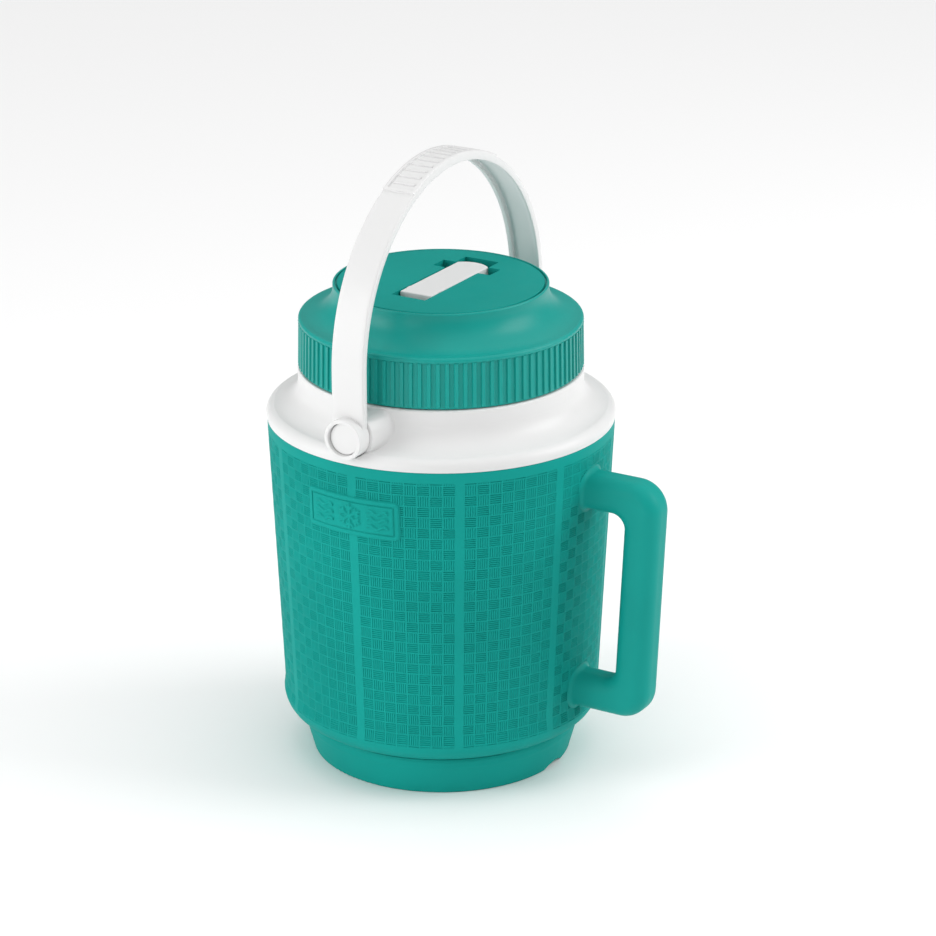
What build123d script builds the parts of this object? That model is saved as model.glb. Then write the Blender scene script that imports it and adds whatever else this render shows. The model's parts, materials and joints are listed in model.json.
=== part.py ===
from build123d import *
import math
import os

# Large insulated water jug. Millimetres, +Z up. The origin is on the jug's axis at the surface it
# stands on. +X points to the pouring handle, and the bail turns about a line parallel to Y.

# Body
BODY_TOP_Z, BODY_TOP_R = 195.6, 95.2
BODY_LOW_Z, BODY_LOW_R = 40.0, 87.6
SHELL_WALL = 2.4
SEAM_R, SEAM_Z = 76.8, 22.0
EDGE_R, EDGE_Z, EDGE_BOW = 78.2, 23.6, -4.4
SHELL_FLOOR_R, SHELL_FLOOR_Z = 70.2, 24.4
EDGE_INNER_R, EDGE_INNER_Z, EDGE_INNER_BOW = 77.6, 25.4, -4.0
COLLAR_SPIGOT_R, COLLAR_SPIGOT_Z = 92.4, 187.5

# Base cup: a foot ring, a flared wall and a spigot inside the shell
FOOT_INNER_R, FOOT_OUTER_R, FOOT_ROUND = 67.5, 71.0, 1.2
CUP_FLOOR_Z, CUP_FLOOR_TOP_Z, CUP_WALL_R, CUP_WALL_Z = 5.0, 7.4, 76.2, 15.5
CUP_RIM_R, CUP_RIM_Z, CUP_SPIGOT_R, CUP_SPIGOT_Z = 77.0, 19.0, 70.0, 29.0
SCALLOP_R, SCALLOP_DROP = 16.5, 13.2
FILL_HOLE_R, FILL_PLUG_R = 8.0, 11.0

# Badge plate on the shell, under the front pivot
BADGE_WIDTH, BADGE_HEIGHT, BADGE_Z = 56.5, 22.2, 166.6
BADGE_CORNER, BADGE_PROUD = 3.0, 0.9
BADGE_FRAME, BADGE_SUNK = 3.2, 0.5

# Pouring handle
HANDLE_WIDTH, HANDLE_ROUND = 21.0, 8.0
ARM_TOP_Z, ARM_TOP_UNDER_Z = 179.3, 159.2
ARM_LOW_TOP_Z, ARM_LOW_Z = 62.5, 42.3
GRIP_TOP_X, GRIP_LOW_X, GRIP_DEPTH = 138.7, 132.2, 20.6
HANDLE_OUTER_R, HANDLE_INNER_R, HANDLE_ROOT_R = 16.5, 7.0, 2.5
STUB_SIDE, STUB_REACH = 12.0, 6.0

# Vessel, neck and thread
LINER_FLOOR_Z, LINER_LOW_R, LINER_LOW_Z, LINER_LOW_BOW = 31.0, 73.2, 37.0, -1.8
LINER_WIDE_R, LINER_WIDE_Z, LINER_SHOULDER_R, LINER_SHOULDER_Z = 78.5, 187.0, 76.6, 197.0
LINER_NECK_R, LINER_NECK_Z, LINER_RIM_Z, LINER_WALL = 69.3, 214.0, 242.6, 2.0
NECK_R, NECK_TOP_Z = 71.6, 241.9
SHELF_R, SHELF_Z = 78.0, 224.0
MOUTH_R, MOUTH_Z = 67.3, 244.5
THREAD_PITCH, THREAD_TURNS = 6.0, 1.5
THREAD_BASE, THREAD_CREST, THREAD_SUNK = 2.6, 1.2, 0.5
NECK_CREST_R, LID_CREST_R, LID_BORE_R = 73.2, 72.2, 74.0
NECK_THREAD_Z, LID_THREAD_Z = 229.0, 226.9

# Collar: a low rim, a concave flare and a shelf under the neck
RIM_R, RIM_Z, FLARE_LOW_R, FLARE_LOW_Z = 95.4, 197.2, 91.2, 202.8
FLARE_TOP_Z, FLARE_LOW_BOW, FLARE_BOW = 215.5, -1.5, 3.9

# Lid
LID_LOW_Z, LID_BAND_TOP_Z = 224.4, 250.0
LID_FLARE_R, LID_FLARE_LOW_Z, LID_FLARE_TOP_Z, LID_FLARE_BOW = 75.3, 252.6, 267.0, 4.4
LID_CUP_R, LID_CUP_Z = 54.0, 265.2
LID_BAND_LOW_R, LID_BAND_TOP_R = 77.8, 77.3
RIB_COUNT, RIB_DEPTH, RIB_LOW_Z = 100, 0.7, 225.4
LIP_R, TOP_Z = 58.6, 271.0
GROOVE_R, DISC_R, DISC_LOW_Z = 57.3, 56.2, 268.0
PLUG_R, PLUG_LOW_Z, PLUG_FLANGE_Z = 66.6, 232.0, 247.0

# Spout and its pocket, which runs along Y
SLOT_HALF, SLOT_NEAR_Y, SLOT_FAR_Y = 10.5, -33.9, 44.3
WELL_HALF, WELL_NEAR_Y, WELL_FAR_Y = 18.0, 21.6, 33.2
POCKET_WALL, TAB_FLOOR_Z, PIT_FLOOR_Z, PIT_FAR_Y = 1.9, 262.6, 250.9, -7.9
HINGE_Y, HINGE_Z, BARREL_R = -17.5, 262.5, 8.5
TAB_HALF, TAB_NEAR_Y, TAB_FAR_Y, TAB_END_R = 9.7, -26.0, 38.0, 14.0
TAB_LOW_Z, TAB_NEAR_LOW_Z = 264.5, 267.5
TRUNNION_R, TRUNNION_REACH = 2.0, 1.6
CHANNEL_R = 2.5
VENT_Y = 30.0

# Bail
PIVOT_Z, PIVOT_FACE_Y, BOSS_FACE_Y, BOSS_R = 211.0, 101.0, 91.2, 11.9
RING_R, RECESS_R, RECESS_DEPTH = 11.2, 8.9, 3.8
STUD_R, STUD_HEAD_R, STUD_SUNK, STUD_HEAD_THICK = 5.0, 8.6, 2.1, 1.4
STUD_INNER_Y = 81.0
BAIL_R, BAIL_CENTRE_Z, BAIL_HALF = 95.5, 246.0, 9.75
BAIL_DEPTH, BAIL_SKIN, BAIL_LIP = 4.2, 1.5, 2.7
PLATE_ANGLE, PLATE_PROUD, PLATE_SUNK, PLATE_FRAME = 26.8, 1.0, 0.8, 2.0
GRIP_RIBS, GRIP_RIB_R = 13, 0.9
RUNNING_GAP = 0.05


def profile_face(steps):
    """A face in the XZ plane from (r, z) corners. A third value bows the side that leads there."""
    edges = []
    for start, end in zip(steps, steps[1:] + steps[:1]):
        if len(end) == 3:
            edges.append(SagittaArc(start[:2], end[:2], end[2]))
        else:
            edges.append(Line(start[:2], end[:2]))
    return Plane.XZ * make_face(edges)


def turned(steps):
    """A solid of revolution about the jug's axis."""
    return revolve(profile_face(steps), Axis.Z)


def block(low, high):
    """A box between two corners."""
    size = [b - a for a, b in zip(low, high)]
    middle = [(a + b) / 2 for a, b in zip(low, high)]
    return Pos(*middle) * Box(*size)


def rod_y(radius, y0, y1, x=0.0, z=0.0):
    """A cylinder along Y."""
    return Pos(x, (y0 + y1) / 2, z) * Rot(90, 0, 0) * Cylinder(radius, abs(y1 - y0))


def rod_x(radius, x0, x1, y=0.0, z=0.0):
    """A cylinder along X."""
    return Pos((x0 + x1) / 2, y, z) * Rot(0, 90, 0) * Cylinder(radius, abs(x1 - x0))


def rod_z(radius, z0, z1, x=0.0, y=0.0):
    """A cylinder along Z."""
    return Pos(x, y, (z0 + z1) / 2) * Cylinder(radius, z1 - z0)


def body_radius(z):
    """Outer radius of the tapered body at height z."""
    share = (z - BODY_LOW_Z) / (BODY_TOP_Z - BODY_LOW_Z)
    return BODY_LOW_R + share * (BODY_TOP_R - BODY_LOW_R)


def body_envelope(proud=0.0):
    """The solid space inside the body's outer surface."""
    return turned([
        (0, SEAM_Z), (SEAM_R + proud, SEAM_Z), (EDGE_R + proud, EDGE_Z),
        (BODY_LOW_R + proud, BODY_LOW_Z, EDGE_BOW), (BODY_TOP_R + proud, BODY_TOP_Z), (0, BODY_TOP_Z),
    ])


def handle_stub(z):
    """The square stub of the handle's arm at height z, which is welded through the shell."""
    half = STUB_SIDE / 2
    inner = body_radius(z) - SHELL_WALL - STUB_REACH
    return block((inner, -half, z - half), (body_radius(z) + 4, half, z + half))


def badge(proud, shrink=0.0):
    """The badge plate's space, which stands proud of the body under the front pivot."""
    width, height = BADGE_WIDTH - 2 * shrink, BADGE_HEIGHT - 2 * shrink
    plate = RectangleRounded(width, height, BADGE_CORNER - shrink / 2)
    column = extrude(Pos(0, -80, BADGE_Z) * Rot(90, 0, 0) * plate, 24)
    return column & body_envelope(proud)


def make_outer_shell():
    hollow = turned([
        (0, SEAM_Z - 1), (SHELL_FLOOR_R, SEAM_Z - 1), (SHELL_FLOOR_R, SHELL_FLOOR_Z),
        (EDGE_INNER_R, EDGE_INNER_Z), (BODY_LOW_R - SHELL_WALL, BODY_LOW_Z + 1, EDGE_INNER_BOW),
        (body_radius(COLLAR_SPIGOT_Z - 1) - SHELL_WALL, COLLAR_SPIGOT_Z - 1),
        (COLLAR_SPIGOT_R, COLLAR_SPIGOT_Z), (COLLAR_SPIGOT_R, BODY_TOP_Z + 1), (0, BODY_TOP_Z + 1),
    ])
    raised = badge(BADGE_PROUD) - badge(BADGE_PROUD + 1, BADGE_FRAME)
    field = badge(BADGE_PROUD - BADGE_SUNK, BADGE_FRAME)
    shell = body_envelope() + raised + field - hollow
    for z in stub_heights():
        shell -= handle_stub(z)
    return shell


def stub_heights():
    """Mid-heights of the handle's two arms."""
    return ((ARM_TOP_Z + ARM_TOP_UNDER_Z) / 2, (ARM_LOW_TOP_Z + ARM_LOW_Z) / 2)


def make_base_cup():
    inner_r = CUP_SPIGOT_R - SHELL_WALL
    cup = turned([
        (0, CUP_FLOOR_Z), (FOOT_INNER_R - 1, CUP_FLOOR_Z), (FOOT_INNER_R, CUP_FLOOR_Z - 1),
        (FOOT_INNER_R, 0), (FOOT_OUTER_R, 0), (FOOT_OUTER_R + FOOT_ROUND, FOOT_ROUND, -0.3),
        (CUP_WALL_R, CUP_WALL_Z), (CUP_RIM_R, CUP_RIM_Z, -0.2), (SEAM_R, SEAM_Z, -0.3),
        (CUP_SPIGOT_R, SEAM_Z), (CUP_SPIGOT_R, CUP_SPIGOT_Z), (inner_r, CUP_SPIGOT_Z),
        (inner_r, SEAM_Z - 0.5), (FOOT_INNER_R - 1, CUP_FLOOR_TOP_Z), (0, CUP_FLOOR_TOP_Z),
    ])
    scallop = Pos(FOOT_OUTER_R + 1, 0, -SCALLOP_DROP) * Rot(0, 90, 0) * Cylinder(SCALLOP_R, 14)
    return cup - scallop - rod_z(FILL_HOLE_R, CUP_FLOOR_Z - 1, CUP_FLOOR_TOP_Z + 1)


def make_foam_fill_plug():
    flange = rod_z(FILL_PLUG_R, CUP_FLOOR_Z - 1.2, CUP_FLOOR_Z)
    return flange + rod_z(FILL_HOLE_R, CUP_FLOOR_Z, CUP_FLOOR_TOP_Z + 1.6)


def make_inner_liner():
    return turned([
        (0, LINER_FLOOR_Z), (67, LINER_FLOOR_Z), (LINER_LOW_R, LINER_LOW_Z, LINER_LOW_BOW),
        (LINER_WIDE_R, LINER_WIDE_Z), (LINER_SHOULDER_R, LINER_SHOULDER_Z, -1.0),
        (LINER_NECK_R, LINER_NECK_Z), (LINER_NECK_R, LINER_RIM_Z), (71.4, LINER_RIM_Z),
        (71.4, MOUTH_Z), (MOUTH_R, MOUTH_Z), (MOUTH_R, LINER_NECK_Z - 0.6),
        (LINER_SHOULDER_R - 1.9, LINER_SHOULDER_Z - 0.8), (LINER_WIDE_R - LINER_WALL, LINER_WIDE_Z),
        (LINER_LOW_R - LINER_WALL, LINER_LOW_Z + 0.4), (66.8, LINER_FLOOR_Z + LINER_WALL, 1.3),
        (0, LINER_FLOOR_Z + LINER_WALL),
    ])


def liner_space():
    """Everything inside the liner's outer surface, up to its neck."""
    gap = 0.1
    return turned([
        (0, LINER_FLOOR_Z - gap), (67, LINER_FLOOR_Z - gap),
        (LINER_LOW_R + gap, LINER_LOW_Z, LINER_LOW_BOW),
        (LINER_WIDE_R + gap, LINER_WIDE_Z), (LINER_SHOULDER_R + gap, LINER_SHOULDER_Z, -1.0),
        (LINER_NECK_R + gap, LINER_NECK_Z + gap), (LINER_NECK_R + gap, 243), (0, 243),
    ])


def make_body_foam():
    foam = turned([
        (0, 7.6), (65.0, 7.6), (66.2, 20), (67.3, 29.3), (74.5, 29.3), (84.4, 42),
        (89.4, 186.5), (89.4, 197.7), (87.9, 199.9, -0.5), (74.6, 211.0, 3.6),
        (74.6, 220.6), (69.4, 225.0), (0, 225),
    ])
    foam -= liner_space()
    foam -= rod_z(8.2, 7, 9.2)
    for z in stub_heights():
        foam -= handle_stub(z)
    return foam


def make_liner_seal_ring():
    return turned([(69.6, NECK_TOP_Z), (71.2, NECK_TOP_Z), (71.2, 242.6), (69.6, 242.6)])


def thread(root, crest, z):
    """A helical ridge from the root radius to the crest radius, which starts at height z."""
    outward = 1 if crest > root else -1
    inner = root - outward * THREAD_SUNK
    path = Helix(THREAD_PITCH, THREAD_PITCH * THREAD_TURNS, root)
    ridge = make_face(Polyline(
        (inner, -THREAD_BASE / 2), (crest, -THREAD_CREST / 2),
        (crest, THREAD_CREST / 2), (inner, THREAD_BASE / 2), close=True,
    ))
    return Pos(0, 0, z) * sweep(Plane.XZ * ridge, path=path, is_frenet=True)


def make_shoulder_collar():
    skin = turned([
        (60, COLLAR_SPIGOT_Z), (COLLAR_SPIGOT_R, COLLAR_SPIGOT_Z), (COLLAR_SPIGOT_R, BODY_TOP_Z),
        (BODY_TOP_R, BODY_TOP_Z), (RIM_R, RIM_Z), (FLARE_LOW_R, FLARE_LOW_Z, FLARE_LOW_BOW),
        (SHELF_R, FLARE_TOP_Z, FLARE_BOW),
        (SHELF_R, SHELF_Z - 0.8), (SHELF_R - 0.8, SHELF_Z, -0.25), (NECK_R, SHELF_Z),
        (NECK_R, NECK_TOP_Z), (60, NECK_TOP_Z),
    ])
    for side in (-1, 1):
        skin += rod_y(BOSS_R, side * 70, side * BOSS_FACE_Y, z=PIVOT_Z)
    skin -= turned([
        (0, 180), (89.8, 180), (89.8, 198), (88.2, 200.5, -0.5), (75.0, 211.5, 3.5),
        (75.0, 221), (69.5, 225.5), (69.5, 250), (0, 250),
    ])
    for side in (-1, 1):
        skin -= rod_y(RING_R + 0.6, side * BOSS_FACE_Y, side * 110, z=PIVOT_Z)
        skin -= rod_y(STUD_R, side * STUD_INNER_Y, side * 100, z=PIVOT_Z)
    return skin + thread(NECK_R, NECK_CREST_R, NECK_THREAD_Z)


def make_side_handle():
    outer = Polyline(
        (80, ARM_LOW_Z), (GRIP_LOW_X, ARM_LOW_Z), (GRIP_TOP_X, ARM_TOP_Z), (80, ARM_TOP_Z), close=True)
    inner = Polyline(
        (80, ARM_LOW_TOP_Z), (GRIP_LOW_X + 0.9 - GRIP_DEPTH, ARM_LOW_TOP_Z),
        (GRIP_TOP_X - 0.9 - GRIP_DEPTH, ARM_TOP_UNDER_Z), (80, ARM_TOP_UNDER_Z), close=True)
    outer_face = make_face(outer)
    outer_face = fillet(outer_face.vertices().sort_by(Axis.X)[2:], HANDLE_OUTER_R)
    inner_face = make_face(inner)
    inner_face = fillet(inner_face.vertices().sort_by(Axis.X)[2:], HANDLE_INNER_R)
    bar = extrude(Plane.XZ * (outer_face - inner_face), HANDLE_WIDTH / 2, both=True)
    sides = bar.edges().filter_by(Axis.Y, reverse=True)
    sides = [e for e in sides if abs(e.center().Y) > HANDLE_WIDTH / 2 - 0.01 and e.center().X > 80.5]
    bar = fillet(sides, HANDLE_ROUND)
    core = body_envelope()
    joined = core + bar
    roots = [e for e in joined.edges()
             if math.hypot(e.center().X, e.center().Y) < body_radius(e.center().Z) + 1.0
             and e.center().X > 80 and abs(e.center().Y) < 11 and BODY_LOW_Z < e.center().Z < 181]
    joined = fillet(roots, HANDLE_ROOT_R)
    handle = (joined - core).solids().sort_by(SortBy.VOLUME)[-1]
    for z in stub_heights():
        handle += handle_stub(z)
    return handle


def make_bail_handle():
    middle = (0, BAIL_CENTRE_Z)

    def arch(radius):
        """An arch with straight legs down to the pivots, as a face in the YZ plane."""
        legs = Pos(0, (PIVOT_Z + BAIL_CENTRE_Z) / 2) * Rectangle(2 * radius, BAIL_CENTRE_Z - PIVOT_Z)
        return legs + Pos(*middle) * Circle(radius)

    def wedge(radius, half_angle):
        """A circular sector about the top of the arch."""
        spread = math.radians(half_angle)
        corner = (radius * math.sin(spread), BAIL_CENTRE_Z + radius * math.cos(spread))
        top = (0, BAIL_CENTRE_Z + radius)
        left = (-corner[0], corner[1])
        return make_face([Line(middle, left), ThreePointArc(left, top, corner), Line(corner, middle)])

    def slab(face, half):
        """The face in the YZ plane, thickened along X to both sides."""
        return extrude(Plane.YZ * face, half, both=True)

    inner = arch(BAIL_R - BAIL_DEPTH) + Pos(0, PIVOT_Z - 60) * Rectangle(2 * (BAIL_R - BAIL_DEPTH), 120)
    strap = slab(arch(BAIL_R), BAIL_HALF)
    strap += slab(wedge(BAIL_R + PLATE_PROUD, PLATE_ANGLE), BAIL_HALF)
    strap -= slab(inner, BAIL_HALF + 1)
    field_angle = PLATE_ANGLE - math.degrees(PLATE_FRAME / BAIL_R)
    floor = BAIL_R + PLATE_PROUD - PLATE_SUNK
    field = slab(wedge(BAIL_R + PLATE_PROUD + 2, field_angle), BAIL_HALF - PLATE_FRAME)
    strap -= field - slab(Pos(*middle) * Circle(floor), BAIL_HALF)
    channel = slab(arch(BAIL_R - BAIL_SKIN) - arch(BAIL_R - BAIL_DEPTH - 1), BAIL_HALF - BAIL_LIP)
    channel -= block((-20, -120, PIVOT_Z - 1), (20, 120, PIVOT_Z + RING_R + 3))
    strap -= channel
    step = 2 * (field_angle - 3) / (GRIP_RIBS - 1)
    for index in range(GRIP_RIBS):
        angle = math.radians(-field_angle + 3 + index * step)
        y, z = floor * math.sin(angle), BAIL_CENTRE_Z + floor * math.cos(angle)
        strap += rod_x(GRIP_RIB_R, -BAIL_HALF + PLATE_FRAME + 1, BAIL_HALF - PLATE_FRAME - 1, y, z)
    for side in (-1, 1):
        strap += rod_y(RING_R, side * (BAIL_R - BAIL_DEPTH), side * PIVOT_FACE_Y, z=PIVOT_Z)
    for side in (-1, 1):
        strap -= rod_y(RECESS_R, side * (PIVOT_FACE_Y - RECESS_DEPTH), side * 120, z=PIVOT_Z)
        strap -= rod_y(STUD_R + RUNNING_GAP, side * 80, side * 120, z=PIVOT_Z)
    return strap


def make_pivot_stud(side):
    face = PIVOT_FACE_Y - STUD_SUNK
    head = rod_y(STUD_HEAD_R, side * (face - STUD_HEAD_THICK), side * face, z=PIVOT_Z)
    head = fillet(head.edges().group_by(Axis.Y)[-1 if side > 0 else 0], 0.5)
    return head + rod_y(STUD_R, side * STUD_INNER_Y, side * (face - STUD_HEAD_THICK / 2), z=PIVOT_Z)


def make_lid_shell():
    core = turned([
        (LID_BORE_R, LID_LOW_Z), (LID_BAND_LOW_R - RIB_DEPTH, LID_LOW_Z),
        (LID_BAND_TOP_R - RIB_DEPTH, LID_BAND_TOP_Z), (LID_BAND_TOP_R, LID_BAND_TOP_Z + 0.3),
        (LID_FLARE_R, LID_FLARE_LOW_Z, -0.9), (LIP_R, LID_FLARE_TOP_Z, LID_FLARE_BOW),
        (LIP_R, TOP_Z - 1.2),
        (LIP_R - 1.0, TOP_Z, -0.4), (GROOVE_R, TOP_Z), (GROOVE_R, TOP_Z - 1.6), (DISC_R, TOP_Z - 1.6),
        (DISC_R, DISC_LOW_Z), (LID_CUP_R, DISC_LOW_Z), (LID_CUP_R, LID_CUP_Z), (LID_CUP_R + 2, LID_CUP_Z),
        (73.3, LID_BAND_TOP_Z, -LID_FLARE_BOW),
        (LID_BORE_R, 249.2),
    ])
    rib_width = math.pi * LID_BAND_LOW_R / RIB_COUNT
    rib = Rectangle(RIB_DEPTH + 1, rib_width)
    ring_of_ribs = Sketch() + PolarLocations(LID_BAND_LOW_R - 0.6, RIB_COUNT) * rib
    ribs = extrude(Pos(0, 0, RIB_LOW_Z) * ring_of_ribs, LID_BAND_TOP_Z - RIB_LOW_Z + 0.2)
    band = turned([
        (LID_BORE_R + 1, LID_LOW_Z), (LID_BAND_LOW_R, LID_LOW_Z), (LID_BAND_TOP_R, LID_BAND_TOP_Z + 0.2),
        (LID_BORE_R + 1, LID_BAND_TOP_Z + 0.2),
    ])
    return core + (ribs & band) + thread(LID_BORE_R, LID_CREST_R, LID_THREAD_Z)


def pocket(grow, floor_drop):
    """The spout's pocket, grown sideways and downwards. It is open above the disc."""
    top = TOP_Z + 1 if floor_drop == 0 else DISC_LOW_Z
    tab = block((-SLOT_HALF - grow, SLOT_NEAR_Y - grow, TAB_FLOOR_Z - floor_drop),
                (SLOT_HALF + grow, SLOT_FAR_Y + grow, top))
    wells = block((-WELL_HALF - grow, WELL_NEAR_Y - grow, TAB_FLOOR_Z - floor_drop),
                  (WELL_HALF + grow, WELL_FAR_Y + grow, top))
    pit = block((-SLOT_HALF - grow, SLOT_NEAR_Y - grow, PIT_FLOOR_Z - floor_drop),
                (SLOT_HALF + grow, PIT_FAR_Y + grow, top))
    return tab + wells + pit


def make_lid_top_disc():
    plate = turned([
        (0, DISC_LOW_Z), (DISC_R, DISC_LOW_Z), (DISC_R, TOP_Z - 0.4), (DISC_R - 0.4, TOP_Z, -0.12),
        (0, TOP_Z),
    ])
    disc = plate + pocket(POCKET_WALL, POCKET_WALL) - pocket(0, 0)
    reach = TAB_HALF + TRUNNION_REACH + RUNNING_GAP + 0.3
    disc -= rod_x(TRUNNION_R + RUNNING_GAP, -reach, reach, HINGE_Y, HINGE_Z)
    disc -= rod_z(CHANNEL_R + 1.8, PIT_FLOOR_Z - 5, PIT_FLOOR_Z + 1, y=HINGE_Y)
    return disc - rod_z(1.5, TAB_FLOOR_Z - 5, TAB_FLOOR_Z + 1, y=VENT_Y)


def make_lid_inner_plug():
    plug = turned([
        (0, PLUG_LOW_Z), (PLUG_R - 1.5, PLUG_LOW_Z), (PLUG_R, PLUG_LOW_Z + 1.5, -0.45),
        (PLUG_R, PLUG_FLANGE_Z), (73.3, PLUG_FLANGE_Z), (73.3, 248.9), (64.6, 248.9),
        (64.6, 234), (0, 234),
    ])
    return plug - rod_z(4.3, 231, 235, y=HINGE_Y) - rod_z(2.0, 231, 235, y=VENT_Y)


def make_lid_foam():
    foam = turned([
        (0, 234.1), (64.3, 234.1), (64.3, 249.1), (70.8, 249.6), (55.6, 264.6, 4.0), (53.7, 264.9),
        (53.7, DISC_LOW_Z - 0.2), (0, DISC_LOW_Z - 0.2),
    ])
    foam -= pocket(POCKET_WALL + 0.2, POCKET_WALL + 0.2)
    foam -= rod_z(4.5, 230, 252, y=HINGE_Y)
    return foam - rod_z(3.6, 230, 264, y=VENT_Y)


def make_lid_gasket():
    return turned([(67.8, 245.0), (71.2, 245.0), (71.2, 246.8), (67.8, 246.8)])


def make_port_grommet():
    tube = rod_z(4.3, 231, PIT_FLOOR_Z, y=HINGE_Y) + rod_z(6.5, 230.6, PLUG_LOW_Z, y=HINGE_Y)
    return tube - rod_z(CHANNEL_R, 230, PIT_FLOOR_Z + 1, y=HINGE_Y)


def make_spout_seat_seal():
    pad = block((-7, HINGE_Y - 4.6, PIT_FLOOR_Z), (7, HINGE_Y + 6.5, HINGE_Z - 6.2))
    pad -= rod_x(BARREL_R + 0.3, -8, 8, HINGE_Y, HINGE_Z)
    return pad - rod_z(CHANNEL_R, PIT_FLOOR_Z - 1, HINGE_Z, y=HINGE_Y)


def make_vent_valve():
    cap = rod_z(5.5, 230.6, PLUG_LOW_Z, y=VENT_Y)
    cap = fillet(cap.edges().group_by(Axis.Z)[0], 0.6)
    return cap + rod_z(2.0, 231.5, 234, y=VENT_Y) + rod_z(3.2, 234, 236, y=VENT_Y)


def make_flip_spout():
    plan = Rectangle(2 * TAB_HALF, TAB_FAR_Y - TAB_NEAR_Y)
    plan = Pos(0, (TAB_FAR_Y + TAB_NEAR_Y) / 2) * plan
    rounded_end = Pos(0, TAB_FAR_Y - TAB_END_R) * Circle(TAB_END_R)
    rounded_end += Pos(0, (TAB_FAR_Y - TAB_END_R + TAB_NEAR_Y) / 2) * Rectangle(
        2 * TAB_HALF, TAB_FAR_Y - TAB_END_R - TAB_NEAR_Y)
    outline = plan & rounded_end
    tab = extrude(Pos(0, 0, TAB_NEAR_LOW_Z) * outline, TOP_Z - TAB_NEAR_LOW_Z)
    tab = fillet(tab.edges().group_by(Axis.Z)[-1], 0.7)
    thick = extrude(Pos(0, 0, TAB_LOW_Z) * outline, TAB_NEAR_LOW_Z - TAB_LOW_Z + 0.5)
    thick -= block((-20, TAB_NEAR_Y - 5, 260), (20, HINGE_Y, 272))
    spout = tab + thick + rod_x(BARREL_R, -TAB_HALF, TAB_HALF, HINGE_Y, HINGE_Z)
    end = TAB_HALF + TRUNNION_REACH
    spout += rod_x(TRUNNION_R, -end, end, HINGE_Y, HINGE_Z)
    spout -= block((-5.5, HINGE_Y + 3.5, 266.0), (5.5, TAB_FAR_Y + 1, 269.0))
    spout -= rod_y(CHANNEL_R, TAB_NEAR_Y - 5, HINGE_Y + 6, z=HINGE_Z)
    return spout - block((-2.5, HINGE_Y + 3.5, HINGE_Z - 1), (2.5, HINGE_Y + 6, 267))


PARTS = {
    "outer_shell": make_outer_shell,
    "base_cup": make_base_cup,
    "foam_fill_plug": make_foam_fill_plug,
    "side_handle": make_side_handle,
    "inner_liner": make_inner_liner,
    "body_foam": make_body_foam,
    "liner_seal_ring": make_liner_seal_ring,
    "shoulder_collar": make_shoulder_collar,
    "bail_handle": make_bail_handle,
    "pivot_stud_front": lambda: make_pivot_stud(-1),
    "pivot_stud_rear": lambda: make_pivot_stud(1),
    "lid_shell": make_lid_shell,
    "lid_top_disc": make_lid_top_disc,
    "lid_inner_plug": make_lid_inner_plug,
    "lid_foam": make_lid_foam,
    "lid_gasket": make_lid_gasket,
    "port_grommet": make_port_grommet,
    "spout_seat_seal": make_spout_seat_seal,
    "vent_valve": make_vent_valve,
    "flip_spout": make_flip_spout,
}

os.makedirs("parts", exist_ok=True)
for name, make in PARTS.items():
    solid = make()
    export_step(solid, f"parts/{name}.step")
    print(name, round(solid.volume), "mm3")
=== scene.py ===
"""Looks of the insulated water jug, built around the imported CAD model. Metres, +Z up."""
import json
import math

import bmesh
import bpy
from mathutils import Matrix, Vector


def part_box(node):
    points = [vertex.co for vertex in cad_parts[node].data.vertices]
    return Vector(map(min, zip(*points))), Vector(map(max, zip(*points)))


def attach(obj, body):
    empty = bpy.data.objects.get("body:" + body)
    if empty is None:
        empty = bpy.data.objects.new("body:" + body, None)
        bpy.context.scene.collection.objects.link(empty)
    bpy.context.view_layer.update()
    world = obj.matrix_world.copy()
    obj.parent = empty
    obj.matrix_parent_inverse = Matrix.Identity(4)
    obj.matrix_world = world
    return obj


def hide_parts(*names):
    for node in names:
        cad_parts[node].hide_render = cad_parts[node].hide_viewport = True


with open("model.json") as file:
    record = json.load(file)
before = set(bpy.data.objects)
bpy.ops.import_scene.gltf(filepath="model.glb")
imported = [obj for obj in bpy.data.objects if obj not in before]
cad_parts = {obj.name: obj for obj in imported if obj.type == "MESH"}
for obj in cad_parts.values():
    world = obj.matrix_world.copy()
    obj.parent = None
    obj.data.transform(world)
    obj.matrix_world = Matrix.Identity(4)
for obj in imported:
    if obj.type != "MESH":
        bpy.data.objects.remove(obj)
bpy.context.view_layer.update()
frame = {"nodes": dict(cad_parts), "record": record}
nodes = frame["nodes"]

MM = 0.001  # the shapes below are worked out in millimetres

# Camera: its bearing from the badge's side, its lens and the point it aims at, in metres
AZIMUTH, ELEVATION = math.radians(30.5), math.radians(20.63)
CAMERA_LENS, SENSOR_WIDTH, CAMERA_DISTANCE = 141.3, 36.0, 2.0207
TARGET_HEIGHT, TARGET_RIGHT = 0.1629, 0.01463

# Sky: its strength at and below the lower height and at and above the upper one
HORIZON_LIGHT, OVERHEAD_LIGHT = 0.2, 1.27
SKY_LOW, SKY_HIGH = 0.3, 0.85

# Soft boxes: turn from the camera's bearing and lift in degrees, distance, size and watts
LIGHT_AIM_Z = 0.15
SOFT_BOXES = {
    "key_left": (-68, 14, 1.6, (0.6, 0.9), 10),
    "front_strip": (-30, 8, 1.6, (0.25, 0.8), 2.5),
    "fill_right": (86, 28, 1.6, (0.9, 1.0), 13),
}
FLOOR_SIZE, FLOOR_COLOR, FLOOR_ROUGHNESS = 8, (0.93, 0.93, 0.93, 1), 0.9


def box_mm(node):
    """Lowest and highest corners of a CAD node, in millimetres."""
    low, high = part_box(node)
    return low / MM, high / MM


shell_low, shell_high = box_mm("outer_shell")
lid_low, lid_high = box_mm("lid_shell")
bail_high = box_mm("bail_handle")[1]
stud_low, stud_high = box_mm("pivot_stud_rear")

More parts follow.
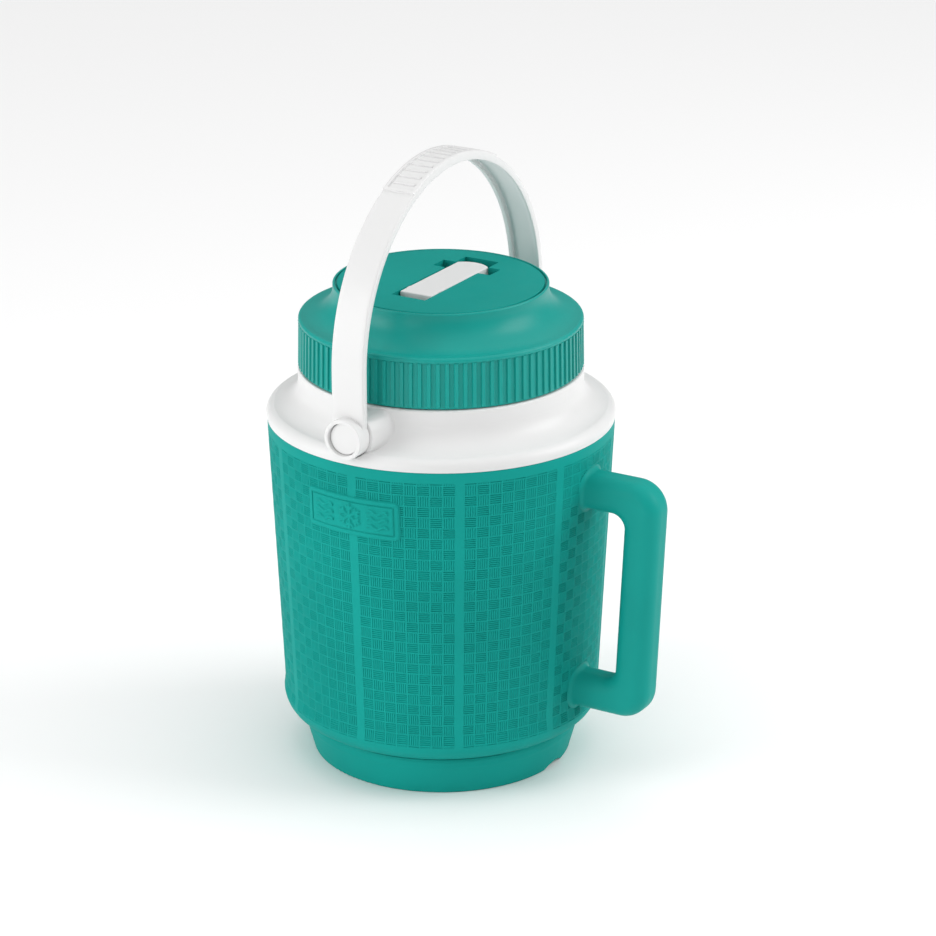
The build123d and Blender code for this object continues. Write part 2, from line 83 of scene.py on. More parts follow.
# Body: a cone from the top edge down to a rounded bottom edge
BODY_TOP_R, BODY_TOP_Z, SEAM_Z = shell_high.y, shell_high.z, shell_low.z
BODY_LOW_R, BODY_LOW_Z = BODY_TOP_R - 7.6, SEAM_Z + 18.0
EDGE_R, EDGE_CENTRE_R, EDGE_CENTRE_Z = 12.35, BODY_LOW_R - 11.6, SEAM_Z + 13.75

# Pivot of the bail, in its two rings
PIVOT_Z = (stud_low.z + stud_high.z) / 2
RING_R, RING_FACE_Y = bail_high.x, bail_high.y


# ---------------------------------------------------------------- helpers

def smooth_step(value):
    """Rises from 0 to 1 with flat ends."""
    value = min(1.0, max(0.0, value))
    return value * value * (3 - 2 * value)


def bowed(steps, arc_points):
    """Points of a closed outline from (r, z) corners. A third value bows the side that ends there."""
    points = []
    for start, end in zip(steps[-1:] + steps[:-1], steps):
        if len(end) == 3 and end[2]:
            (r0, z0), (r1, z1), bow = start[:2], end[:2], end[2]
            dr, dz = r1 - r0, z1 - z0
            chord = math.hypot(dr, dz)
            radius = chord * chord / (8 * abs(bow)) + abs(bow) / 2
            side = 1 if bow > 0 else -1
            nr, nz = -dz / chord * side, dr / chord * side
            away = radius - abs(bow)
            cr, cz = (r0 + r1) / 2 - nr * away, (z0 + z1) / 2 - nz * away
            half = math.asin(chord / 2 / radius)
            for i in range(1, arc_points):
                t = -half + 2 * half * i / arc_points
                along, out = radius * math.sin(t), radius * math.cos(t)
                points.append((cr + dr / chord * along + nr * out,
                               cz + dz / chord * along + nz * out))
        points.append((end[0], end[1]))
    return points


def softened(points, cut, turn, steps):
    """The closed outline with each corner sharper than turn degrees rounded off."""
    rounded = []
    count = len(points)
    for i, here in enumerate(points):
        back, ahead = Vector(points[i - 1]), Vector(points[(i + 1) % count])
        corner = Vector(here)
        to_back, to_ahead = back - corner, ahead - corner
        if to_back.length < 1e-6 or to_ahead.length < 1e-6:
            continue
        if math.degrees(math.pi - to_back.angle(to_ahead)) < turn:
            rounded.append(here)
            continue
        reach = min(cut, 0.45 * to_back.length, 0.45 * to_ahead.length)
        a, b = corner + to_back.normalized() * reach, corner + to_ahead.normalized() * reach
        for k in range(steps + 1):
            t = k / steps
            rounded.append(tuple(a * (1 - t) ** 2 + corner * 2 * t * (1 - t) + b * t * t))
    return rounded


def piece_from(name, points, faces, body, replaced, finish, sharp):
    """A shown piece made of points in millimetres, smooth but for edges sharper than the angle."""
    mesh = bpy.data.meshes.new(name)
    mesh.from_pydata([tuple(c * MM for c in p) for p in points], [], faces)
    build = bmesh.new()
    build.from_mesh(mesh)
    bmesh.ops.remove_doubles(build, verts=build.verts, dist=1e-7)
    bmesh.ops.recalc_face_normals(build, faces=build.faces)
    build.to_mesh(mesh)
    build.free()
    mesh.polygons.foreach_set("use_smooth", [True] * len(mesh.polygons))
    mesh.set_sharp_from_angle(angle=math.radians(sharp))
    mesh.materials.append(finish)
    piece = bpy.data.objects.new(name, mesh)
    bpy.context.scene.collection.objects.link(piece)
    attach(piece, body)
    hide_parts(*replaced)


def grid_faces(rows, columns, first=0, wrap_rows=True, wrap_columns=True):
    """Quads over a grid of points stored row by row."""
    faces = []
    for i in range(rows if wrap_rows else rows - 1):
        for j in range(columns if wrap_columns else columns - 1):
            i1, j1 = (i + 1) % rows, (j + 1) % columns
            faces.append((first + i * columns + j, first + i * columns + j1,
                          first + i1 * columns + j1, first + i1 * columns + j))
    return faces


def ring_wall(first_ring, second_ring):
    """Quads between two closed rows of points."""
    ahead = zip(first_ring, second_ring, first_ring[1:] + first_ring[:1], second_ring[1:] + second_ring[:1])
    return [(a, a1, b1, b) for a, b, a1, b1 in ahead]


# ---------------------------------------------------------------- body shell

# Woven texture: panels of engraved cells between plain upright bands
PANELS, COLUMNS, ROWS = 10, 8, 25
PANEL_START, CELL_TURN = math.radians(-90 + 2.2), math.radians(4.16)
TEXTURE_LOW_Z, TEXTURE_TOP_Z, CUT_ROW = SEAM_Z + 11.9, BODY_TOP_Z - 5.9, 1.3
CELL_BORDER, GROOVES = 0.26, 5
UPRIGHT_NOTCH = (0.40, 0.50)  # depth, and share of the pitch that is cut away
LEVEL_NOTCH = (0.54, 0.66)

# Wall of the shell, its mouth round the collar and the hole in its floor
SHELL_WALL, MOUTH_R, MOUTH_DEPTH, FLOOR_HOLE_R, FLOOR_EDGE_R = 2.4, 92.4, 8.1, 70.2, 76.3


def body_radius(z):
    """Outer radius of the body at height z."""
    if z >= BODY_LOW_Z:
        share = (z - BODY_LOW_Z) / (BODY_TOP_Z - BODY_LOW_Z)
        return BODY_LOW_R + share * (BODY_TOP_R - BODY_LOW_R)
    return EDGE_CENTRE_R + math.sqrt(max(0.0, EDGE_R ** 2 - (z - EDGE_CENTRE_Z) ** 2))


def on_body(angle, z, depth=0.0):
    """A point of the body's outer surface, sunk by depth."""
    r = body_radius(z) - depth
    return (r * math.cos(angle), r * math.sin(angle), z)


def engraved_cell(points, faces, corners, low, high, upright, grooves):
    """One cell of parallel notches between its four corner points. Low and high are (angle, z)."""
    depth, share = UPRIGHT_NOTCH if upright else LEVEL_NOTCH
    radius = body_radius((low[1] + high[1]) / 2)
    wide, tall = (high[0] - low[0]) * radius, high[1] - low[1]
    across, along = (wide, tall) if upright else (tall, wide)

    def put(s, t, sunk=0.0):
        """A new point at s across the notches and t along them, in millimetres."""
        u, v = (s, t) if upright else (t, s)
        points.append(on_body(low[0] + u / radius, low[1] + v, sunk))
        return len(points) - 1

    near, far = (corners[0], corners[1]), (corners[3], corners[2])
    if not upright:
        near, far = (corners[0], corners[3]), (corners[1], corners[2])
    border = min(CELL_BORDER, 0.3 * along)
    pitch = (across - 2 * CELL_BORDER) / grooves if across > 3 * CELL_BORDER else across / grooves
    start = (across - pitch * grooves) / 2
    half = pitch * share / 2
    slope = min(half * 0.8, (along - 2 * border) * 0.3)
    rims = []
    for i in range(grooves):
        middle = start + (i + 0.5) * pitch
        rim = [put(middle + s * half, t) for t in (border, along - border) for s in (-1, 1)]
        floor = [put(middle, border + slope, depth), put(middle, along - border - slope, depth)]
        a, b, c, d = rim
        faces += [(a, floor[0], floor[1], c), (b, d, floor[1], floor[0])]
        faces += [(a, b, floor[0]), (c, floor[1], d)]
        if rims:
            faces.append((rims[-1][1], a, c, rims[-1][3]))
        rims.append(rim)
    faces.append([near[0], near[1]] + [p for rim in reversed(rims) for p in (rim[1], rim[0])])
    faces.append([far[1], far[0]] + [p for rim in rims for p in (rim[2], rim[3])])
    faces.append((near[0], rims[0][0], rims[0][2], far[0]))
    faces.append((near[1], far[1], rims[-1][3], rims[-1][1]))


def shell_profile():
    """The shell's closed outline as (r, z), and the place in it where the texture's rows start."""
    pitch = (TEXTURE_TOP_Z - TEXTURE_LOW_Z - 2 * CUT_ROW) / ROWS
    edge = [SEAM_Z + h for h in (2.6, 4.2, 6.0, 8.0, 10.0)]
    rows = [TEXTURE_LOW_Z + CUT_ROW + k * pitch for k in range(ROWS + 1)]
    heights = edge + [TEXTURE_LOW_Z] + rows + [TEXTURE_TOP_Z, BODY_TOP_Z - 3, BODY_TOP_Z - 0.9]
    ledge_z = BODY_TOP_Z - MOUTH_DEPTH - 1
    profile = [(body_radius(z), z) for z in heights]
    profile += [
        (BODY_TOP_R - 0.2, BODY_TOP_Z - 0.3), (BODY_TOP_R - 0.7, BODY_TOP_Z), (MOUTH_R, BODY_TOP_Z),
        (MOUTH_R, BODY_TOP_Z - MOUTH_DEPTH), (body_radius(ledge_z) - SHELL_WALL, ledge_z),
        (BODY_LOW_R - SHELL_WALL, BODY_LOW_Z + 1), (FLOOR_EDGE_R + 5.7, SEAM_Z + 7),
        (FLOOR_EDGE_R + 1.3, SEAM_Z + 1 + SHELL_WALL), (FLOOR_HOLE_R, SEAM_Z + SHELL_WALL),
        (FLOOR_HOLE_R, SEAM_Z), (FLOOR_EDGE_R, SEAM_Z), (FLOOR_EDGE_R + 0.5, SEAM_Z + 0.4),
    ]
    return profile, len(edge)


def woven_shell(finish):
    """The outer shell with its engraved panels, as one closed wall."""
    points, faces = [], []
    panel_turn = 2 * math.pi / PANELS
    lines = [PANEL_START + panel * panel_turn + column * CELL_TURN
             for panel in range(PANELS) for column in range(COLUMNS + 1)]
    profile, first_row = shell_profile()
    count = len(lines)
    for r, z in profile:
        points += [(r * math.cos(a), r * math.sin(a), z) for a in lines]
    for i in range(len(profile)):
        for j in range(count):
            i1, j1 = (i + 1) % len(profile), (j + 1) % count
            corners = (i * count + j, i * count + j1, i1 * count + j1, i1 * count + j)
            row = i - first_row
            plain = j % (COLUMNS + 1) == COLUMNS or not 0 <= row <= ROWS + 1
            if plain:
                faces.append(corners)
                continue
            upright = (j % (COLUMNS + 1) + ROWS - row) % 2 == 0
            cut = row in (0, ROWS + 1)
            grooves = 1 if cut and not upright else GROOVES
            low, high = (lines[j], profile[i][1]), (lines[j + 1], profile[i1][1])
            engraved_cell(points, faces, corners, low, high, upright, grooves)
    piece_from("outer_shell_woven", points, faces, "jug", ["outer_shell"], finish, sharp=18)


# ---------------------------------------------------------------- badge

BADGE_HALF_X, BADGE_HALF_Z, BADGE_Z, BADGE_CORNER, BADGE_PROUD = 28.25, 11.1, 166.6, 3.0, 0.9
BADGE_STEP, BADGE_MARGIN, BADGE_BURIED, BADGE_BACK = 0.32, 1, 0.6, 1.6
FRAME_INSET, FRAME_WIDTH, FRAME_DEPTH = 3.0, 0.4, 0.6
STROKE_WIDTH, MOTIF_PROUD = 0.55, 0.75
WAVE_START, WAVE_END, WAVE_GAP, WAVE_HEIGHT, WAVE_BUMP = 10.5, 22.5, 4.2, 0.9, 4


def inside_badge(x, z):
    """Distance inside the badge's rounded outline, negative outside."""
    dx, dz = abs(x) - BADGE_HALF_X + BADGE_CORNER, abs(z) - BADGE_HALF_Z + BADGE_CORNER
    outside = math.hypot(max(dx, 0), max(dz, 0))
    return BADGE_CORNER - outside - min(max(dx, dz), 0)


def to_segment(x, z, a, b):
    """Distance from a point to the line from a to b."""
    dx, dz = b[0] - a[0], b[1] - a[1]
    t = ((x - a[0]) * dx + (z - a[1]) * dz) / (dx * dx + dz * dz)
    t = min(1.0, max(0.0, t))
    return math.hypot(x - a[0] - t * dx, z - a[1] - t * dz)


def snowflake_strokes(reach=6.6, barb=2.3):
    """The lines of a plain six-armed snowflake."""
    strokes = []
    for k in range(6):
        a = math.radians(30 + 60 * k)
        tip = (reach * math.cos(a), reach * math.sin(a))
        strokes.append(((0, 0), tip))
        root = (0.58 * tip[0], 0.58 * tip[1])
        for side in (-1, 1):
            b = a + side * math.radians(50)
            strokes.append((root, (root[0] + barb * math.cos(b), root[1] + barb * math.sin(b))))
    return strokes


def stroke(distance):
    """Height, from 0 to 1, of a raised line at a distance from its middle."""
    return smooth_step(1.9 - distance / STROKE_WIDTH)


def motif_height(x, z, strokes):
    """Height, from 0 to 1, of the snowflake and of the waves beside it."""
    height = stroke(min(to_segment(x, z, a, b) for a, b in strokes))
    along = abs(x) - WAVE_START
    if WAVE_START < abs(x) < WAVE_END:
        for row in (-1, 0, 1):
            crest = WAVE_GAP * row + WAVE_HEIGHT * math.sin(along * math.pi / WAVE_BUMP)
            height = max(height, stroke(abs(z - crest)))
    return height


def badge_rise(x, z, strokes):
    """How far the badge stands out of the body, negative where it is buried."""
    inside = inside_badge(x, z)
    rise = -BADGE_BURIED + (BADGE_BURIED + BADGE_PROUD) * smooth_step(inside / 0.9 + 0.35)
    rise -= FRAME_DEPTH * smooth_step(1.3 - abs(inside - FRAME_INSET) / FRAME_WIDTH)
    return rise + MOTIF_PROUD * motif_height(x, z, strokes)


def badge(finish):
    """A raised plate with an engraved frame line, a plain snowflake and wave lines."""
    strokes = snowflake_strokes()
    reach_x, reach_z = BADGE_HALF_X + BADGE_MARGIN, BADGE_HALF_Z + BADGE_MARGIN
    nx, nz = round(2 * reach_x / BADGE_STEP), round(2 * reach_z / BADGE_STEP)
    front, back = [], []
    for j in range(nz + 1):
        z = -reach_z + j * 2 * reach_z / nz
        for i in range(nx + 1):
            x = -reach_x + i * 2 * reach_x / nx
            radius = body_radius(BADGE_Z + z)
            rise = badge_rise(x, z, strokes)
            front.append((x, -math.sqrt((radius + rise) ** 2 - x * x), BADGE_Z + z))
            back.append((x, -math.sqrt((radius - BADGE_BACK) ** 2 - x * x), BADGE_Z + z))
    columns, total = nx + 1, (nx + 1) * (nz + 1)
    faces = grid_faces(nz + 1, columns, 0, False, False)
    faces += grid_faces(nz + 1, columns, total, False, False)
    rim = list(range(columns)) + [j * columns + nx for j in range(1, nz + 1)]
    rim += [nz * columns + i for i in range(nx - 1, -1, -1)]
    rim += [j * columns for j in range(nz - 1, 0, -1)]
    faces += ring_wall(rim, [total + i for i in rim])
    piece_from("badge_plate", front + back, faces, "jug", ["outer_shell"], finish, sharp=60)


# ---------------------------------------------------------------- shoulder bosses

# Swelling: a cone round the flat face, blended into the collar's flare and faded out upwards
BOSS_FACE_Y, BOSS_START_R, BOSS_SLOPE, BOSS_SOFT = 91.2, 12.6, 3.2, 2.6
BOSS_FADE_Z, BOSS_FADE = PIVOT_Z + 8.3, 4.0
BOSS_HOLE_R, BOSS_REACH, BOSS_LOW, BOSS_HIGH = 11.85, 24.0, -12.5, 12.3
BOSS_BURIED, BOSS_THICK = 0.06, 1.2
BOSS_RINGS, BOSS_TURNS = 30, 144

# The collar's flare from its rim up to the shelf, as (r, z)
COLLAR_FLARE = bowed([(60, 195.6), (95.2, 195.6), (95.4, 197.2), (91.2, 202.8, -1.5),
                      (78.0, 215.5, 3.9), (78.0, 224.0)], 24)[1:]


def collar_radius(z):
    """Outer radius of the collar's concave flare at height z."""
    for (r0, z0), (r1, z1) in zip(COLLAR_FLARE, COLLAR_FLARE[1:]):
        if z0 <= z <= z1:
            return r0 + (r1 - r0) * (z - z0) / (z1 - z0)
    return COLLAR_FLARE[-1][0] if z > COLLAR_FLARE[-1][1] else COLLAR_FLARE[0][0]


def flare_y(x, z):
    """Reach along Y of the collar's plain flare."""
    return math.sqrt(collar_radius(z) ** 2 - x * x)


def boss_y(x, z):
    """Reach along Y of the collar's flare with the swelling round the pivot blended in."""
    wall = flare_y(x, z)
    cone = BOSS_FACE_Y - max(0.0, math.hypot(x, z - PIVOT_Z) - BOSS_START_R) * BOSS_SLOPE
    gap = max(0.0, 1 - abs(wall - cone) / BOSS_SOFT)
    lift = max(wall, cone) + BOSS_SOFT * gap ** 3 / 6 - wall
    lift *= 1 - smooth_step((z - BOSS_FADE_Z) / BOSS_FADE)
    return min(wall + lift, max(BOSS_FACE_Y, wall)) - BOSS_BURIED


def boss_reach(angle):
    """Distance from the pivot at which the swelling has sunk into the flare, in one direction."""
    reach = BOSS_HOLE_R + 0.3
    while reach < BOSS_REACH and BOSS_LOW < reach * math.sin(angle) < BOSS_HIGH:
        x, z = reach * math.cos(angle), PIVOT_Z + reach * math.sin(angle)
        if boss_y(x, z) < flare_y(x, z) - BOSS_BURIED + 0.005:
            break
        reach += 0.1
    return reach


def soft_boss(name, side, finish):
    """The soft swelling of the collar round a pivot, from the flat face down into the flare."""
    top, under = [], []
    angles = [2 * math.pi * j / BOSS_TURNS for j in range(BOSS_TURNS)]
    reaches = [boss_reach(a) for a in angles]
    for i in range(BOSS_RINGS + 1):
        for a, reach in zip(angles, reaches):
            rho = BOSS_HOLE_R + (reach - BOSS_HOLE_R) * i / BOSS_RINGS
            x, z = rho * math.cos(a), PIVOT_Z + rho * math.sin(a)
            y = boss_y(x, z)
            top.append((x, side * y, z))
            under.append((x, side * (y - BOSS_THICK), z))
    rows, total = BOSS_RINGS + 1, (BOSS_RINGS + 1) * BOSS_TURNS
    faces = grid_faces(rows, BOSS_TURNS, 0, False) + grid_faces(rows, BOSS_TURNS, total, False)
    for i in (0, BOSS_RINGS):
        ring = [i * BOSS_TURNS + j for j in range(BOSS_TURNS)]
        faces += ring_wall(ring, [total + k for k in ring])
    piece_from(name, top + under, faces, "jug", [], finish, sharp=50)


# ---------------------------------------------------------------- lid

LID_LOW_Z, LID_TOP_Z = lid_low.z, lid_high.z
BAND_LOW_R, BAND_TOP_R, BAND_TOP_Z = 77.8, 77.3, LID_TOP_Z - 21.0
SKIRT_INNER_R, WAIST_R, LIP_R, LID_FLARE_BOW = 74.0, 58.6, 57.6, 4.4
DISC_HOLE_R, SEAT_R, NECK_HOLE_R = 57.3, 56.2, 54.0
RIB_COUNT, RIB_DEPTH = 100, 1.0
# One rib: share of the pitch, and share of the rib's depth
RIB_SHAPE = [(0.0, 0.0), (0.03, 0.72), (0.07, 1.0), (0.43, 1.0), (0.47, 0.72), (0.50, 0.0), (0.75, 0.0)]


def ribbed_lid(finish):
    """The lid's shell: a ribbed band, a bead, a concave flare and a raised lip round the disc."""
    low, top, band_top = LID_LOW_Z, LID_TOP_Z, BAND_TOP_Z
    low_r, top_r = BAND_LOW_R - RIB_DEPTH, BAND_TOP_R - RIB_DEPTH
    skirt = [
        (SKIRT_INNER_R, low), (low_r - 0.3, low), (low_r, low + 0.3), (low_r, low + 0.9),
        (low_r, low + 1.2), (low_r - 0.25, band_top - 12), (top_r, band_top - 0.3),
    ]
    flare = [
        (BAND_TOP_R, band_top), (BAND_TOP_R, band_top + 0.5), (BAND_TOP_R - 1.7, band_top + 2.6, -0.7),
        (WAIST_R, band_top + 17.0, LID_FLARE_BOW), (WAIST_R, top - 1.2), (LIP_R, top, -0.4),
    ]
    inside = [
        (DISC_HOLE_R, top - 0.3), (DISC_HOLE_R, top - 1.6), (SEAT_R, top - 1.6), (SEAT_R, top - 3),
        (NECK_HOLE_R, top - 3), (NECK_HOLE_R, top - 5.8), (NECK_HOLE_R + 2, top - 5.8),
        (SKIRT_INNER_R - 0.7, band_top, -LID_FLARE_BOW), (SKIRT_INNER_R, band_top - 0.8),
    ]
    outline = softened(bowed(skirt + flare + inside, 14), 0.25, 35, 2)
    turns = [(k + share) / RIB_COUNT for k in range(RIB_COUNT) for share, _ in RIB_SHAPE]
    rises = [rise for _ in range(RIB_COUNT) for _, rise in RIB_SHAPE]
    points = []
    for turn, rise in zip(turns, rises):
        a = 2 * math.pi * turn
        for r, z in outline:
            ribbed = low + 1.1 < z < band_top - 0.1 and r > top_r - 0.5
            reach = r + (RIB_DEPTH * rise if ribbed else 0)
            points.append((reach * math.cos(a), reach * math.sin(a), z))
    faces = grid_faces(len(turns), len(outline))
    piece_from("lid_shell_ribbed", points, faces, "lid", ["lid_shell"], finish, sharp=34)


# ---------------------------------------------------------------- bail

# Strap: outer radius of the arch, half width, and the channel along its inside
BAIL_R, BAIL_HALF, BAIL_DEPTH, BAIL_SKIN, BAIL_LIP = 95.5, RING_R - 1.45, 4.2, 1.5, 2.7

# Grip plate: half its angle, a raised frame and a sunk field with ribs across it
PLATE_ANGLE, PLATE_PROUD, PLATE_SUNK, PLATE_FRAME = 26.8, 1.0, 0.8, 2.0
FIELD_ANGLE = PLATE_ANGLE - math.degrees(PLATE_FRAME / BAIL_R)
GRIP_RIBS, GRIP_RIB_R, GRIP_RIB_SIDES = 13, 0.9, 12

BAIL_CENTRE_Z = bail_high.z - BAIL_R - PLATE_PROUD
RING_THICK, STUD_HOLE_R, RECESS_R, RECESS_FLOOR, RING_TURNS = 9.7, 5.05, 8.9, 5.9, 120


def bail_stations():
    """Places along the strap as (y, z, outward y, outward z, rise of the edge, rise of the field)."""
    leg_heights = [PIVOT_Z, PIVOT_Z + 18, BAIL_CENTRE_Z - 1]
    stations = [(-BAIL_R, z, -1.0, 0.0, 0.0, 0.0) for z in leg_heights]
    angles = [-90 + 2 * k for k in range(91)]
    for end in (PLATE_ANGLE, FIELD_ANGLE):
        angles += [side * (end + step) for side in (-1, 1) for step in (-0.1, 0.1)]
    for angle in sorted(angles):
        a = math.radians(angle)
        out_y, out_z = math.sin(a), math.cos(a)
        plate = PLATE_PROUD if abs(angle) < PLATE_ANGLE else 0.0
        field = plate - PLATE_SUNK if abs(angle) < FIELD_ANGLE else plate
        stations.append((BAIL_R * out_y, BAIL_CENTRE_Z + BAIL_R * out_z, out_y, out_z, plate, field))
    stations += [(BAIL_R, z, 1.0, 0.0, 0.0, 0.0) for z in reversed(leg_heights)]
    return stations


def bail_section(edge, field):
    """The strap's cross-section as (x, height over the outer face): a channel with two inner lips."""
    half, inner, frame_x = BAIL_HALF, BAIL_HALF - BAIL_LIP, BAIL_HALF - PLATE_FRAME
    foot, roof = -BAIL_DEPTH, -BAIL_SKIN
    outer_side = [
        (frame_x - 0.15, field), (frame_x, edge), (half - 0.75, edge), (half - 0.38, edge - 0.1),
        (half - 0.12, edge - 0.35), (half, edge - 0.75), (half, foot + 0.55), (half - 0.15, foot + 0.18),
    ]
    inner_side = [
        (half - 0.5, foot), (inner + 0.35, foot), (inner + 0.1, foot + 0.1), (inner, foot + 0.35),
        (inner, roof - 0.45), (inner - 0.12, roof - 0.12), (inner - 0.45, roof),
    ]
    right = outer_side + inner_side
    return right + [(-x, h) for x, h in reversed(right)]


def add_end_ring(points, faces, side):
    """The ring at one end of the bail, with the recess that the stud's head sits in."""
    rim = [(STUD_HOLE_R, 0.0), (RING_R, 0.0), (RING_R, RING_THICK), (RECESS_R, RING_THICK),
           (RECESS_R, RECESS_FLOOR), (STUD_HOLE_R, RECESS_FLOOR)]
    rim = softened(rim, 0.6, 35, 4)
    first = len(points)
    for i in range(RING_TURNS):
        a = 2 * math.pi * i / RING_TURNS
        for r, depth in rim:
            y = side * (RING_FACE_Y - RING_THICK + depth)
            points.append((r * math.cos(a), y, PIVOT_Z + r * math.sin(a)))
    faces += grid_faces(RING_TURNS, len(rim), first)


def add_grip_ribs(points, faces):
    """Round-ended ribs across the sunk field of the grip plate."""
    reach, spread = BAIL_HALF - PLATE_FRAME - 1, FIELD_ANGLE - 3
    length = [(-reach, 0.2), (-reach + 0.15, 0.65), (-reach + 0.5, 0.95), (-reach + 0.9, 1.0)]
    length += [(-x, share) for x, share in reversed(length)]
    floor = BAIL_R + PLATE_PROUD - PLATE_SUNK
    for index in range(GRIP_RIBS):
        angle = math.radians(-spread + index * 2 * spread / (GRIP_RIBS - 1))
        first = len(points)
        for x, share in length:
            for k in range(GRIP_RIB_SIDES):
                t = 2 * math.pi * k / GRIP_RIB_SIDES
                radius = floor + GRIP_RIB_R * share * math.sin(t)
                turn = angle + GRIP_RIB_R * share * math.cos(t) / floor
                points.append((x, radius * math.sin(turn), BAIL_CENTRE_Z + radius * math.cos(turn)))
        last = len(points) - GRIP_RIB_SIDES
        faces += grid_faces(len(length), GRIP_RIB_SIDES, first, False)
        faces += [tuple(range(start, start + GRIP_RIB_SIDES)) for start in (first, last)]


def bail_strap(finish):
    """The bail: a channelled strap with a framed grip plate, and a ring at each pivot."""
    points, faces = [], []
    stations = bail_stations()
    for y, z, out_y, out_z, edge, field in stations:
        points += [(x, y + out_y * h, z + out_z * h) for x, h in bail_section(edge, field)]
    count = len(bail_section(0, 0))
    faces += grid_faces(len(stations), count, 0, False)
    faces += [tuple(range(count)), tuple(range(len(points) - count, len(points)))]
    for side in (-1, 1):
        add_end_ring(points, faces, side)
    add_grip_ribs(points, faces)
    piece_from("bail_strap", points, faces, "bail", ["bail_handle"], finish, sharp=32)


# ---------------------------------------------------------------- studio and finishes

def place(name, data, spot, facing, axis):
    """An object at a spot, with its own axis turned to the facing direction and its Y axis upwards."""
    holder = bpy.data.objects.new(name, data)
    bpy.context.scene.collection.objects.link(holder)
    holder.location = spot
    holder.rotation_mode = "QUATERNION"
    holder.rotation_quaternion = facing.to_track_quat(axis, "Y")
    return holder


def bearing(turn, lift):
    """Unit vector away from the jug, turned from the badge's side and lifted, in radians."""
    return Vector((math.sin(turn) * math.cos(lift), -math.cos(turn) * math.cos(lift), math.sin(lift)))


def add_camera():
    """The camera at the product view."""
    back = bearing(AZIMUTH, ELEVATION)
    right = Vector((math.cos(AZIMUTH), math.sin(AZIMUTH), 0))
    camera = bpy.data.cameras.new("camera")
    camera.sensor_width, camera.lens = SENSOR_WIDTH, CAMERA_LENS
    spot = Vector((0, 0, TARGET_HEIGHT)) + right * TARGET_RIGHT + back * CAMERA_DISTANCE
    bpy.context.scene.camera = place("camera", camera, spot, -back, "-Z")


def add_floor():
    """A plain pale floor."""
    bpy.ops.mesh.primitive_plane_add(size=FLOOR_SIZE)
    floor = bpy.context.object
    floor.name = "floor"
    material = bpy.data.materials.new("floor_paper")
    material.use_nodes = True
    shader = material.node_tree.nodes["Principled BSDF"]
    shader.inputs["Base Color"].default_value = FLOOR_COLOR
    shader.inputs["Roughness"].default_value = FLOOR_ROUGHNESS
    floor.data.materials.append(material)


def add_sky():
    """A white surround that is faint at the horizon and bright overhead."""
    world = bpy.data.worlds.new("studio")
    world.use_nodes = True
    tree = world.node_tree
    tree.nodes["Background"].inputs["Color"].default_value = (1, 1, 1, 1)
    coordinates = tree.nodes.new("ShaderNodeTexCoord")
    split = tree.nodes.new("ShaderNodeSeparateXYZ")
    tree.links.new(coordinates.outputs["Generated"], split.inputs["Vector"])
    climb = tree.nodes.new("ShaderNodeMapRange")
    climb.inputs["From Min"].default_value = SKY_LOW
    climb.inputs["From Max"].default_value = SKY_HIGH
    climb.inputs["To Min"].default_value = HORIZON_LIGHT
    climb.inputs["To Max"].default_value = OVERHEAD_LIGHT
    tree.links.new(split.outputs["Z"], climb.inputs["Value"])
    tree.links.new(climb.outputs["Result"], tree.nodes["Background"].inputs["Strength"])
    bpy.context.scene.world = world


def add_softbox(name, turn, lift, distance, size, power):
    """An area light aimed at the jug, turned from the camera's bearing by turn degrees."""
    way = bearing(AZIMUTH + math.radians(turn), math.radians(lift))
    light = bpy.data.lights.new(name, "AREA")
    light.shape, light.size, light.size_y = "RECTANGLE", size[0], size[1]
    light.energy = power
    place(name, light, Vector((0, 0, LIGHT_AIM_Z)) + way * distance, way, "Z")


def studio():
    """Camera, floor, surround and soft lights."""
    add_camera()
    add_floor()
    add_sky()
    for name, settings in SOFT_BOXES.items():
        add_softbox(name, *settings)
    bpy.context.scene.view_settings.view_transform = "Standard"


# Plastic: scales of the noise per metre, the grain's height in metres and the spread of the gloss
FLOW_SCALE, GLOSS_SCALE, GRAIN_SCALE, GRAIN_HEIGHT, GLOSS_SPREAD = 14, 60, 1500, 0.0002, 0.05


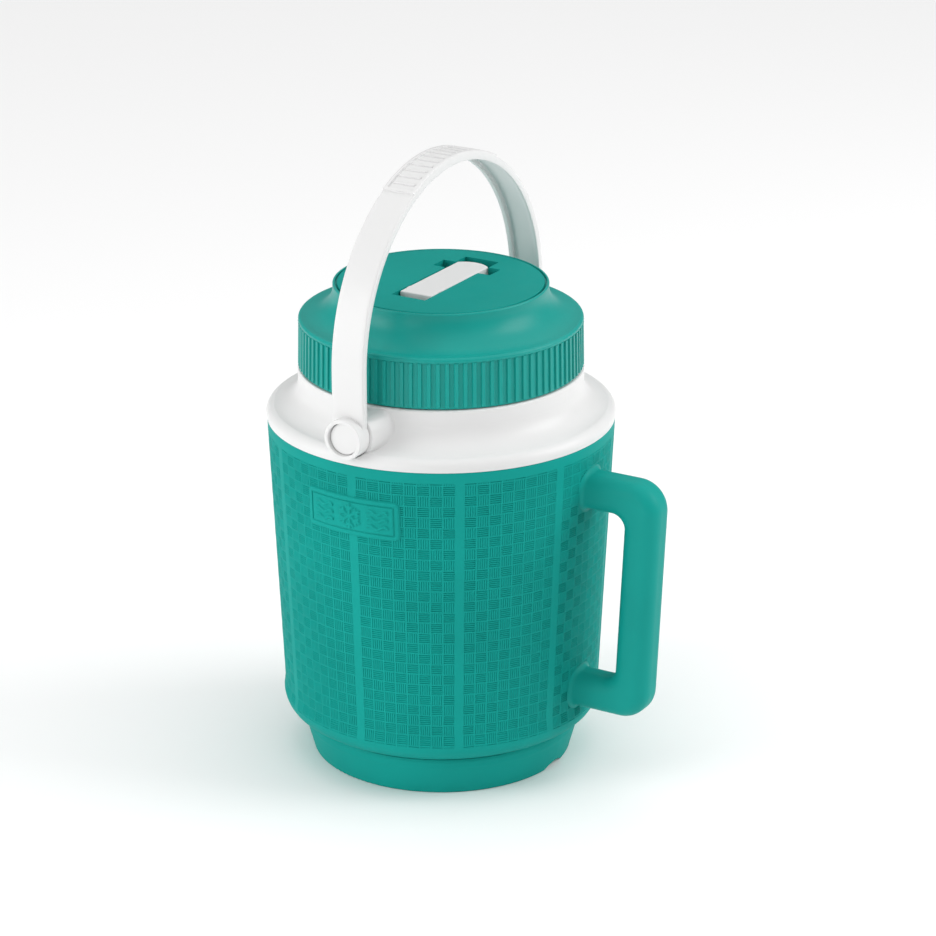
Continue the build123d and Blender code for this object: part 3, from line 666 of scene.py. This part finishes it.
def plastic(name, color, roughness, specular, shade=0.06, grain=0.05):
    """Satin moulded plastic: faint flow marks in the colour, uneven gloss and a fine grain."""
    material = bpy.data.materials.new(name)
    material.use_nodes = True
    tree = material.node_tree
    shader = tree.nodes["Principled BSDF"]
    shader.inputs["Specular IOR Level"].default_value = specular
    coordinates = tree.nodes.new("ShaderNodeTexCoord")

    def noise(scale, detail):
        """Noise over the object's own coordinates."""
        node = tree.nodes.new("ShaderNodeTexNoise")
        node.inputs["Scale"].default_value = scale
        node.inputs["Detail"].default_value = detail
        tree.links.new(coordinates.outputs["Object"], node.inputs["Vector"])
        return node.outputs["Fac"]

    ramp = tree.nodes.new("ShaderNodeValToRGB")
    for stop, position, tone in zip(ramp.color_ramp.elements, (0.3, 0.7), (1 - shade, 1 + shade)):
        stop.position = position
        stop.color = (*[min(1, c * tone) for c in color], 1)
    tree.links.new(noise(FLOW_SCALE, 3), ramp.inputs["Fac"])
    tree.links.new(ramp.outputs["Color"], shader.inputs["Base Color"])
    gloss = tree.nodes.new("ShaderNodeMapRange")
    gloss.inputs["To Min"].default_value = roughness - GLOSS_SPREAD
    gloss.inputs["To Max"].default_value = roughness + GLOSS_SPREAD
    tree.links.new(noise(GLOSS_SCALE, 2), gloss.inputs["Value"])
    tree.links.new(gloss.outputs["Result"], shader.inputs["Roughness"])
    bump = tree.nodes.new("ShaderNodeBump")
    bump.inputs["Strength"].default_value = grain
    bump.inputs["Distance"].default_value = GRAIN_HEIGHT
    tree.links.new(noise(GRAIN_SCALE, 2), bump.inputs["Height"])
    tree.links.new(bump.outputs["Normal"], shader.inputs["Normal"])
    return material


studio()
teal_shell = plastic("shell_teal", (0.006, 0.305, 0.267), 0.55, 0.06)
# Painted shade: the handle's teal is a darker copy of the shell's teal that tones down the light falling on
# the handle's outer face
shaded_teal_handle = plastic("handle_teal", (0.006, 0.295, 0.257), 0.46, 0.10)
teal_disc = plastic("disc_teal", (0.006, 0.28, 0.245), 0.5, 0.06)
teal_lid = plastic("lid_teal", (0.006, 0.305, 0.267), 0.38, 0.22)
white = plastic("gloss_white", (0.73, 0.73, 0.728), 0.36, 0.35, shade=0.01)
spout_white = plastic("spout_white", (0.74, 0.74, 0.738), 0.4, 0.3, shade=0.015)
rubber = plastic("silicone", (0.6, 0.61, 0.6), 0.5, 0.4)
foam = plastic("foam", (0.75, 0.66, 0.4), 0.9, 0.1, shade=0.12, grain=0.4)

SLOT_FINISH = {
    "shell_teal": teal_shell,
    "handle_teal": shaded_teal_handle,
    "lid_teal": teal_lid,
    "collar_white": white,
    "bail_white": white,
    "spout_white": spout_white,
    "liner_white": white,
    "foam": foam,
    "seal_rubber": rubber,
}
for row in frame["record"]["subparts"]:
    node = nodes[row["node"]]
    node.data.materials.clear()
    node.data.materials.append(SLOT_FINISH[row["material_slot"]])
nodes["lid_top_disc"].data.materials[0] = teal_disc

woven_shell(teal_shell)
badge(teal_shell)
ribbed_lid(teal_lid)
bail_strap(white)
soft_boss("pivot_boss_front", -1, white)
soft_boss("pivot_boss_rear", 1, white)
